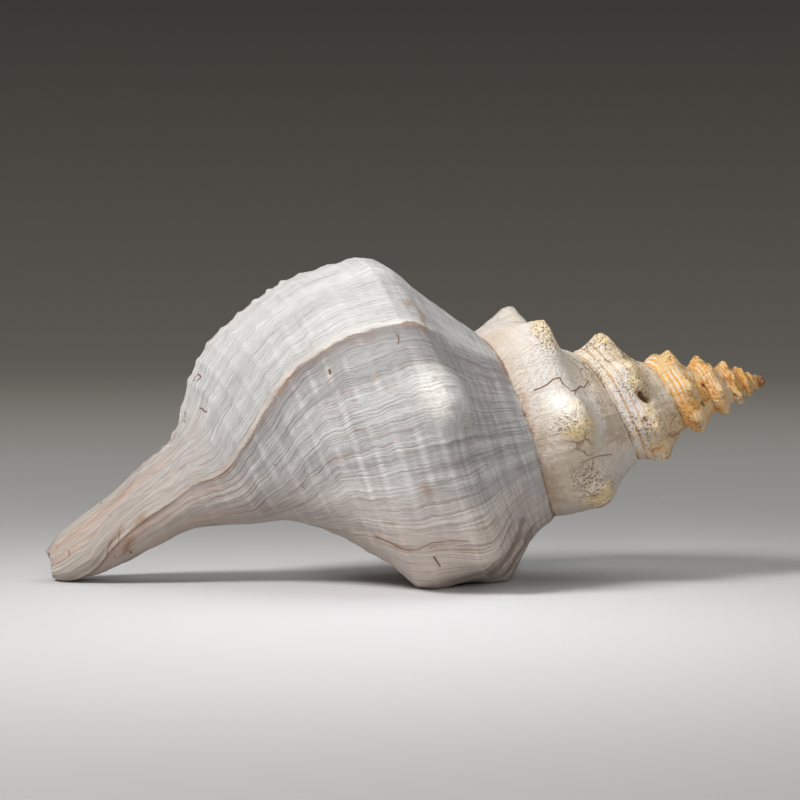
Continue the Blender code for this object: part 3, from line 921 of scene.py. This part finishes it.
TAN_STROKES = (
    (5.0, 0.75, ((127, 550), (131, 535), (140, 520))),
    (3.0, 0.6, ((108, 552), (113, 538), (122, 528))),
    (4.0, 0.6, ((403, 303), (416, 306), (424, 318), (424, 330))),
    (3.5, 0.45, ((376, 537), (410, 550), (450, 541))),
    (3.0, 0.35, ((484, 345), (500, 366), (508, 385))),
    (3.0, 0.5, ((522, 395), (532, 430), (542, 465), (552, 502))),
    (5.0, 0.5, ((424, 487), (430, 490))),
)
SHADE_STROKES = (
    (4.2, 0.75, ((492, 574), (502, 566), (512, 555), (518, 540), (522, 522))),
    (4.2, 0.65, ((507, 574), (513, 565), (523, 547), (532, 528))),
)
# Beige on the penultimate whorl's right side and beside the suture: partly its porous stained colour, partly
# painted shade
BEIGE_AND_SHADE_STROKES = (
    (13.0, 0.9, ((598, 382), (606, 404), (613, 430))),
    (9.0, 0.7, ((540, 440), (548, 470), (556, 498))),
)
PITTED_STROKES = (
    (14.0, 1.0, ((588, 478), (604, 496))),
    (9.0, 0.9, ((563, 428), (580, 430))),
    (10.0, 0.9, ((640, 424), (655, 442))),
    (8.0, 0.8, ((540, 326), (548, 342))),
    (7.0, 0.8, ((592, 346), (606, 346))),
    (9.0, 0.8, ((628, 380), (640, 392))),
    (7.0, 0.5, ((404, 303), (424, 322))),
)
YELLOW_STROKES = (
    (7.0, 0.75, ((566, 434), (576, 436), (586, 424))),
    (7.0, 0.6, ((541, 324), (536, 334), (548, 345))),
    (6.0, 0.75, ((590, 499), (600, 500), (606, 488))),
    (7.0, 0.7, ((636, 385), (650, 410), (640, 420))),
    (9.0, 0.8, ((652, 438), (662, 446))),
    (7.0, 0.8, ((660, 358), (664, 372))),
    (5.0, 0.5, ((596, 343), (604, 340))),
)
# Painted highlights on the lit sides of knobs
HIGHLIGHT_STROKES = (
    (16.0, 0.9, ((436, 385), (446, 408))),
    (9.0, 0.9, ((557, 400), (571, 413))),
    (6.0, 0.7, ((618, 366), (626, 376))),
)
ORANGE_STROKES = (
    (2.2, 0.7, ((55, 542), (57, 547))),
    (3.4, 0.9, ((729, 380), (730, 384))),
    (2.5, 0.8, ((653, 451), (662, 446))),
    (2.5, 0.8, ((690, 421), (697, 423))),
)
# Painted shade: dark brown inside the holes
HOLE_STROKES = (
    (3.0, 1.0, ((643.0, 395.2), (648.5, 399.2))),
    (1.2, 0.9, ((645.0, 419.0), (646.0, 420.5))),
    (1.4, 0.9, ((703.0, 385.0), (704.0, 386.0))),
    (1.2, 0.9, ((735.0, 395.0), (736.0, 396.0))),
    (1.2, 0.8, ((702.0, 402.0), (703.5, 405.0))),
)


def strokes(tree, coil, view, drawn, soft):
    """Mask of strokes drawn on the surface; soft ones fade out over their whole width."""
    total = 0.0
    for width, strength, pixels in drawn:
        spots = [np.array([*view.find(pixel)[:2], 0.0]) for pixel in pixels]
        for first, last in zip(spots, spots[1:]):
            scale = local_scale(*np.mean([first, last], axis=0)[:2])
            run = (last - first) * scale
            run_square = max(float(run @ run), 1e-12)
            off = tree.vector("MULTIPLY_ADD", coil, tuple(scale), tuple(-first * scale)).outputs[0]
            share = tree.vector("DOT_PRODUCT", off, tuple(run / run_square)).outputs["Value"]
            share = tree.limit(share)
            reach = tree.vector("SCALE", tuple(run))
            tree.put(reach.inputs["Scale"], share)
            away = tree.vector("DISTANCE", off, reach.outputs[0]).outputs["Value"]
            half = STROKE_HALF * MILLIMETRE * width
            mask = tree.step(away, 0.0 if soft else 0.5 * half, 1.6 * half, strength, 0.0)
            total = tree.most(total, mask)
    return total


def local_scale(angle, place):
    """Metres for a degree and for a unit of place at a point of the surface."""
    steps = np.array([[0.0, 0.0], [1.0, 0.0], [0.0, SCALE_STEP]])
    spots = plain_points(angle + steps[:, 0], place + steps[:, 1])
    by_angle = np.linalg.norm(spots[1] - spots[0])
    by_place = np.linalg.norm(spots[2] - spots[0]) / SCALE_STEP
    return np.array([by_angle, by_place, 0.0])


WHITE = tone(224, 223, 222)
GREY = tone(168, 167, 168)
WARM = tone(224, 206, 192)
CREAM = tone(246, 232, 200)
BONE = tone(222, 204, 172)
BEIGE = tone(176, 156, 134)
SAND = tone(190, 181, 172)
OCHRE = tone(242, 178, 88)
PALE_YELLOW = tone(238, 212, 160)
TAN = tone(160, 118, 84)
# Grey of the growth striae; also the painted shadow beside the ledge
STRIA_AND_SHADE = tone(122, 106, 98)
HOLE_SHADE = tone(124, 90, 62)
# Painted highlight colour, on the knobs and along the ledge's crest
PAINTED_HIGHLIGHT = tone(246, 243, 238)
BROWN = tone(136, 88, 46)
SHADE = tone(146, 126, 112)
EDGE = tone(178, 146, 116)
ORANGE = tone(206, 122, 48)
STRIPE = tone(200, 154, 96)
PEACH = tone(236, 170, 128)
PALE_PEACH = tone(240, 196, 160)
PINK_RIM = tone(214, 176, 158)
TIP = tone(190, 120, 82)
TIP_DARK = tone(118, 72, 54)
# Each kind of mark: its tint, how its edge looks, and its strokes
MARKS = (
    (PAINTED_HIGHLIGHT, "soft", HIGHLIGHT_STROKES),
    (TAN, "soft", TAN_STROKES),
    (SHADE, "sharp", SHADE_STROKES),
    (BEIGE, "ragged", BEIGE_AND_SHADE_STROKES),
    (PALE_YELLOW, "ragged", YELLOW_STROKES),
    (ORANGE, "ragged", ORANGE_STROKES),
    (HOLE_SHADE, "sharp", HOLE_STROKES),
    (BROWN, "sharp", BROWN_STROKES),
)
# Angles where the spire's colours, its older look and its ochre end start and are complete
SPIRE_FROM = (-125.0, -200.0)
OLD_SPIRE_FROM = (-420.0, -560.0)
DUSK_FROM = (-560.0, -900.0)
# Scales, offsets and depths that the material reads
FULL_TURN = 2.0 * np.pi
SPIRE_CORDS = 2.2
PORE_SCALE = 620.0
SMALL_PORE_SCALE = 1200.0
CRACK_SCALE = 58.0
CRACK_BEND = (0.012, 0.02, 0.004)
LEDGE_LINE = 138.6
GLAZE_ROUGHNESS = 0.22
BUMP_DISTANCE = 0.0017


def body_colour(tree, at):
    """Grey-white with growth bands and fine brown-grey lines; cord crests painted lighter as highlights, the
    low parts painted warm as floor light.
    """
    grey = 0.10 + at.older * 0.24 + tree.step(at.bands, 0.40, 0.62) * (0.24 + at.older * 0.18)
    grey = grey + (at.patches - 0.5) * 0.6
    clear = tree.step(at.spots, 0.38, 0.62, 0.05, 1.0) * tree.step(at.patches, 0.3, 0.6, 0.3, 1.0)
    # Painted light and shade across the cords: crests lighter, hollows greyer
    grey = grey + at.cord_light * -0.30 * clear * (0.5 + at.older)
    # Greyer band below the ledge: partly its grey colour, partly painted shade of the ledge
    below_ledge = tree.step(at.laid, 112.0, 136.0) * at.older * tree.step(at.place, 7.0, 4.0)
    grey = grey + below_ledge * 0.6 + tree.step(at.place, 4.6, 7.0) * 0.3
    colour = tree.mix(tree.limit(grey), WHITE, GREY)
    # Warmer low down, near the floor: painted reflected light from the floor
    colour = tree.mix(tree.step(at.height, 0.066, 0.012) * 0.7, colour, WARM)
    canal = tree.step(at.place, 6.8, 9.6)
    colour = tree.mix(canal * 0.7, colour, SAND)
    colour = tree.mix(canal * tree.step(at.bands, 0.42, 0.60) * 0.55, colour, PINK_RIM)
    threads = tree.step(tree.streaks(at.angle * 0.03, at.cords * 4.2, 21.0), 0.48, 0.62)
    colour = tree.mix(threads * tree.step(at.place, 3.4, 1.6) * 0.24, colour, STRIA_AND_SHADE)
    broken = tree.step(at.patches, 0.30, 0.60, 0.35, 1.0)
    colour = tree.mix(at.lines * (0.34 + at.older * 0.42) * broken, colour, STRIA_AND_SHADE)
    sparse = tree.streaks(at.wavy * 0.62, at.cords * 0.05, 14.0)
    thin = tree.step(abs(sparse - 0.57), 0.018, 0.004)
    return tree.mix(thin * tree.step(at.spots, 0.42, 0.60) * at.older * 0.6, colour, TAN)


def spire_colour(tree, at):
    """Cream whorls: ochre cords below the shoulder, worn porous bone above it."""
    cream = tree.mix(tree.step(at.patches, 0.35, 0.65), WHITE, CREAM)
    colour = tree.mix(0.35 + at.dusk * 0.65, tree.mix(at.patches, WHITE, WARM), cream)
    above = tree.step(at.place + (at.spots - 0.5) * 1.6, 2.9, 1.9)
    bone = above * (0.25 + at.old_spire * 0.5) * tree.step(at.patches, 0.3, 0.6, 0.4, 1.0)
    colour = tree.mix(bone, colour, BONE)
    ragged = tree.streaks(at.angle * 0.05, at.cords * 1.1, 6.0, 3.0, 0.65)
    stripe = at.spire_cord * -0.30 + ragged + (at.spots - 0.5) * -0.7
    stripe = tree.step(stripe, 0.62 + at.dusk * -0.12, 0.76)
    stripe = stripe * (0.12 + at.old_spire * 0.5 + at.dusk * 0.5) * (1.0 - above * 0.5)
    colour = tree.mix(stripe, colour, tree.mix(at.dusk, STRIPE, OCHRE))
    colour = tree.mix(at.dusk * tree.step(at.spots, 0.36, 0.58) * 0.85, colour, OCHRE)
    # Beige on the penultimate whorl: painted shade on its low side, and painted shadow with stain towards
    # the suture with the next turn
    shade_and_stain = tree.most(tree.step(at.place, 2.7, 3.8), tree.step(at.height, 0.105, 0.05) * 0.9)
    shade_and_stain = shade_and_stain * tree.step(at.patches, 0.3, 0.6, 0.5, 1.0) * 0.6 * (1.0 - at.old_spire)
    colour = tree.mix(shade_and_stain, colour, BEIGE)
    return tree.mix(at.porous * 0.5, colour, PALE_YELLOW)


def mouth_colour(tree, at):
    """Peach glaze, in clouds of two tones."""
    clouds = tree.streaks(at.laid * 0.08, at.cords * 0.4, 9.0, 3.0)
    return tree.mix(tree.step(clouds, 0.35, 0.68), PEACH, PALE_PEACH)


def pores(tree, at, pitted):
    """Pores of worn knobs and old whorls, and wherever pitted asks for them."""
    wide = tree.step(tree.cells(at.where, PORE_SCALE), 0.36, 0.20)
    narrow = tree.step(tree.cells(at.where, SMALL_PORE_SCALE), 0.34, 0.16)
    worn = (0.10 + at.porous * 0.6 + at.old_spire * 0.5) * at.spire * tree.step(at.spots, 0.42, 0.58)
    return tree.most(wide, narrow) * tree.limit(worn + pitted)


def hairlines(tree, at):
    """Fine cracks on the spire, along the edges of bent cells."""
    noises = tree.join(at.spots, at.patches, at.grain)
    bent = tree.vector("MULTIPLY_ADD", noises, CRACK_BEND, at.where).outputs[0]
    edges = tree.step(tree.cells(bent, CRACK_SCALE, "DISTANCE_TO_EDGE"), 0.035, 0.008)
    return edges * at.spire * tree.step(at.patches, 0.46, 0.60) * tree.step(at.place, 3.2, 2.4)


def suture_share(tree, at):
    """Brown line along both edges of the suture, broken by noise."""
    lower_edge = tree.step(at.place, 3.92, 3.98) * tree.step(at.angle, -165.0, -175.0)
    edges = tree.step(at.place, 0.08, 0.03) + lower_edge
    return edges * tree.step(at.spots, 0.38, 0.58, 0.1, 1.0)


def paint_ledge(tree, at, colour):
    """Ledge of the old lip: a painted highlight on its crest, a painted shadow beside it and a line between
    them.
    """
    off = at.laid - (LEDGE_LINE + tree.noise(tree.join(at.cords, 5.0), 0.7) * 1.8)
    here = tree.step(at.place, 1.2, 1.9) * tree.step(at.place, 11.2, 10.2) * tree.step(at.angle, 0.0, 10.0)
    # Painted highlight along the ledge's crest, warmer towards the canal
    crest_highlight = tree.step(off, 0.2, 0.7) * tree.step(off, 4.0, 1.2) * here
    # Painted shadow on the older side of the ledge, in the striae's grey
    shade = tree.step(off, -5.5, -0.5) * tree.step(off, 0.4, -0.2) * here
    line = tree.step(abs(off), 0.62, 0.12) * here * tree.step(at.spots, 0.42, 0.60, 0.15, 1.0)
    low = tree.step(at.place, 3.0, 6.5)
    colour = tree.mix(crest_highlight * 0.6, colour, tree.mix(low, PAINTED_HIGHLIGHT, WARM))
    colour = tree.mix(shade * 0.5, colour, STRIA_AND_SHADE)
    return tree.mix(line * 0.9, colour, tree.mix(low, EDGE, TAN))


def paint_ends(tree, at, colour):
    """Pink along the edge of the lip, brown on the tip of the spire."""
    rim = tree.step(at.angle, 187.6, 189.6) * at.outside * tree.step(at.place, 1.0, 2.5)
    colour = tree.mix(rim * 0.25, colour, PINK_RIM)
    tip = tree.step(at.along, 0.1668, 0.1695) * tree.step(at.grain, 0.30, 0.55, 0.5, 1.0)
    return tree.mix(tip, colour, tree.mix(tree.step(at.grain, 0.45, 0.62), TIP, TIP_DARK))


def paint_marks(tree, at, view, colour):
    """Colour with the marks over it, and the mask of the sharp ones."""
    dark = 0.0
    for tint, edge, drawn in MARKS:
        mask = strokes(tree, at.coil, view, drawn, edge != "sharp")
        if edge == "soft":
            mask = mask * tree.step(at.spots, 0.38, 0.56, 0.3, 1.0) * tree.step(at.grain, 0.3, 0.6, 0.5, 1.0)
        elif edge == "ragged":
            torn = mask + (at.spots - 0.5) * 1.8 + (at.grain - 0.5) * 1.2
            mask = tree.step(torn, 0.30, 0.80) * tree.step(mask, 0.0, 0.22) * 0.68
        else:
            dark = tree.most(mask, dark)
        colour = tree.mix(mask * at.outside, colour, tint)
    return colour, dark


def glaze_share(tree, at):
    """Glaze over the whole inside, and thinner over the turn beside the mouth."""
    glaze = tree.step(at.angle - (-150.0 + (at.patches - 0.5) * 40.0), 6.0, -6.0)
    glaze = glaze * tree.step(at.angle, -171.0, -169.0)
    glaze = glaze * tree.step(at.place, 3.9, 4.1) * tree.step(at.place, 10.5, 9.0)
    from_lip = tree.step(at.angle, 189.5, 176.0) * 0.9
    lining = (1.0 - at.outside) * (from_lip + tree.step(at.kind, 1.4, 1.6))
    return tree.limit(tree.most(glaze * 0.7, lining))


def bump_normal(tree, at, pore_share, grooves):
    """Normal of the finest relief: growth lines, grain, pores and cracks."""
    height = (at.fine + at.finer * 0.5) * (at.spire * 0.65 - 1.0)
    height = height + at.grain * tree.step(at.spire, 0.0, 1.0, 0.35, 0.9)
    height = height + at.spots * 0.5 - pore_share * 0.5 - grooves * 0.35
    height = height * tree.step(at.outside, 0.0, 1.0, 0.15, 1.0)
    values = {"Strength": 1.0, "Distance": BUMP_DISTANCE, "Height": height}
    return tree.add("Bump", values).outputs[0]


def surface_values(tree):
    """What the colours and the bump read: coordinates, noises and parts of the shell."""
    at = SimpleNamespace()
    at.coil = tree.attribute("coil")
    at.angle, at.place, at.cords = tree.split(at.coil)
    at.laid, at.knob, at.kind = tree.split(tree.attribute("growth"))
    at.where = tree.where()
    at.along, _depth, at.height = tree.split(at.where)
    at.outside = tree.step(at.kind, 0.6, 0.4)

    at.patches = tree.noise(at.where, 26.0, 3.0, 0.55)
    at.spots = tree.noise(at.where, 90.0, 4.0, 0.6)
    at.grain = tree.noise(at.where, 420.0, 3.0, 0.6)
    wobble = tree.streaks(at.angle * 0.05, at.cords * 0.9, 2.0)
    at.wavy = at.laid + (wobble - 0.5) * 3.2
    at.fine = tree.streaks(at.wavy, at.cords * 0.10, 0.0, 4.0, 0.62)
    at.finer = tree.streaks(at.wavy * 3.0, at.cords * 0.25, 4.0, 3.0, 0.6)
    at.bands = tree.streaks(at.wavy * 0.16, at.cords * 0.06, 8.0, 3.0, 0.55)
    at.lines = tree.step(at.fine, 0.51, 0.64) * 0.65 + tree.step(at.finer, 0.53, 0.68) * 0.55

    at.older = tree.step(at.laid, 143.0, 137.0)
    at.spire = tree.step(at.angle, *SPIRE_FROM)
    at.old_spire = tree.step(at.angle, *OLD_SPIRE_FROM)
    at.dusk = tree.step(at.angle, *DUSK_FROM)
    cord_turn = at.cords * FULL_TURN
    at.cord_light = tree.math("COSINE", cord_turn) * 0.5 + tree.math("COSINE", cord_turn * 2.0) * 0.35
    at.spire_cord = tree.math("COSINE", at.place * (FULL_TURN * SPIRE_CORDS))
    at.porous = tree.step(at.knob + at.spots * 0.6, 0.70, 1.0) * at.spire
    return at


def shell_material(view):
    """Bleached outside with growth lines and an ochre spire; glazed peach inside."""
    tree = Tree("bleached shell")
    at = surface_values(tree)
    pore_share = pores(tree, at, strokes(tree, at.coil, view, PITTED_STROKES, True))
    cracks = hairlines(tree, at)
    coated = glaze_share(tree, at)

    colour = tree.mix(at.spire, body_colour(tree, at), spire_colour(tree, at))
    colour = tree.mix(pore_share * 0.8, colour, BROWN)
    colour = tree.mix(cracks * 0.55, colour, BROWN)
    colour = tree.mix(suture_share(tree, at) * 0.75, colour, BROWN)
    colour = paint_ledge(tree, at, colour)
    colour = paint_ends(tree, at, colour)
    colour, dark = paint_marks(tree, at, view, colour)
    colour = tree.mix(coated, colour, mouth_colour(tree, at))

    bare = 0.52 + at.spots * 0.16 + at.porous * 0.15
    tree.put(tree.shader.inputs["Base Color"], colour)
    tree.put(tree.shader.inputs["Roughness"], bare + (GLAZE_ROUGHNESS - bare) * coated)
    tree.put(tree.shader.inputs["Normal"], bump_normal(tree, at, pore_share, tree.most(dark, cracks)))
    tree.shader.inputs["Specular IOR Level"].default_value = 0.35
    return tree.material


# The studio: a round floor that sweeps up far away, the same from every side
FLOOR_FLAT = 1.9
SWEEP_RADIUS = 3.3
SWEEP_STEPS = 24
FLOOR_SIDES = 128
FLOOR_GAP = 0.0002
POOL_CENTRE = (0.0, -0.12, 0.0)
# Painted pool of light: distance from the pool's centre in metres, and floor tone 0 to 255, dark far out
FLOOR_TONES = (
    (0.0, 220), (0.16, 208), (0.38, 162), (0.62, 160), (0.9, 168),
    (1.6, 176), (3.2, 150), (4.6, 44), (6.0, 8),
)
WARM_FROM = 1.6
# Each light: name, place, size across, power, colour
LIGHTS = (
    ("key", (-0.95, -0.58, 1.05), 0.42, 22.5, (1.0, 0.985, 0.965)),
    ("overhead", (0.6, 0.0, 1.6), 1.5, 10.5, (0.96, 0.98, 1.0)),
    ("fill", (0.2, -4.0, 1.7), 1.2, 48.0, (1.0, 0.99, 0.98)),
)
LIGHT_AIM = (0.0, 0.0, 0.06)
WORLD_TONE = (112, 109, 104)


def floor_material():
    """Pale floor with a painted pool of light: its tone falls away from the object, as on a lit sweep."""
    tree = Tree("pale floor")
    away = tree.vector("DISTANCE", tree.where(), POOL_CENTRE).outputs["Value"]
    reach = FLOOR_TONES[-1][0]
    stops = tree.add("ValToRGB", (tree.math("MULTIPLY", away, 1.0 / reach),))
    stops.color_ramp.interpolation = "B_SPLINE"
    for k, (radius, level) in enumerate(FLOOR_TONES):
        spot = stops.color_ramp.elements[k] if k < 2 else stops.color_ramp.elements.new(1.0)
        spot.position = radius / reach
        far = min(radius / WARM_FROM, 1.0)
        spot.color = tone(level, level * (1.0 - 0.02 * far), level * (1.01 - 0.07 * far))
    tree.put(tree.shader.inputs["Base Color"], stops.outputs[0])
    tree.shader.inputs["Roughness"].default_value = 0.75
    tree.shader.inputs["Specular IOR Level"].default_value = 0.15
    return tree.material


def build_floor():
    """Flat floor under the object, and the sweep around it."""
    climb = np.linspace(0.0, np.pi / 2, SWEEP_STEPS + 1)
    radii = FLOOR_FLAT + SWEEP_RADIUS * np.sin(climb)
    heights = SWEEP_RADIUS * (1.0 - np.cos(climb))
    turns = 2 * np.pi * np.arange(FLOOR_SIDES) / FLOOR_SIDES
    around_once = np.stack([np.cos(turns), np.sin(turns), 0.0 * turns], -1)
    rings = [radius * around_once + (0.0, 0.0, height) for radius, height in zip(radii, heights)]
    faces = [tuple(range(FLOOR_SIDES))]
    for ring in range(SWEEP_STEPS):
        for side in range(FLOOR_SIDES):
            a = ring * FLOOR_SIDES + side
            b = ring * FLOOR_SIDES + (side + 1) % FLOOR_SIDES
            faces.append((a, a + FLOOR_SIDES, b + FLOOR_SIDES, b))
    mesh = bpy.data.meshes.new("floor")
    mesh.from_pydata(np.concatenate(rings).tolist(), [], faces)
    mesh.shade_smooth()
    mesh.polygons[0].use_smooth = False
    mesh.materials.append(floor_material())
    floor = add_object("floor", mesh)
    floor.location = (0.0, 0.0, -FLOOR_GAP)


def build_lights():
    """Three round soft lights and an even grey world."""
    for name, place, size, power, colour in LIGHTS:
        lamp = bpy.data.lights.new(name, "AREA")
        lamp.shape = "DISK"
        lamp.size = size
        lamp.energy = power
        lamp.color = colour
        light = add_object(name, lamp)
        direction = Vector(LIGHT_AIM) - Vector(place)
        light.location = place
        light.rotation_euler = direction.to_track_quat("-Z", "Y").to_euler()
        light.visible_camera = False
    world = bpy.data.worlds.new("studio")
    world.use_nodes = True
    back = world.node_tree.nodes["Background"]
    back.inputs["Color"].default_value = tone(*WORLD_TONE)
    back.inputs["Strength"].default_value = 1.0
    bpy.context.scene.world = world
    bpy.context.scene.view_settings.view_transform = "Standard"


def build_camera(view):
    """Camera at the photograph's place and angle."""
    lens = bpy.data.cameras.new("camera")
    lens.angle = np.radians(VIEW_ANGLE)
    lens.clip_start = 0.05
    lens.clip_end = 60.0
    camera = add_object("camera", lens)
    turn = Matrix((view.right, view.up, -view.forward)).transposed().to_4x4()
    camera.matrix_world = Matrix.Translation(view.eye) @ turn
    bpy.context.scene.camera = camera


def main():
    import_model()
    view = PhotoView()
    build_camera(view)
    shell = build_shell(hole_marks(view))
    shell.data.materials.append(shell_material(view))
    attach(shell, "root")
    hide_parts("shell")
    build_floor()
    build_lights()
    bpy.context.view_layer.update()


main()
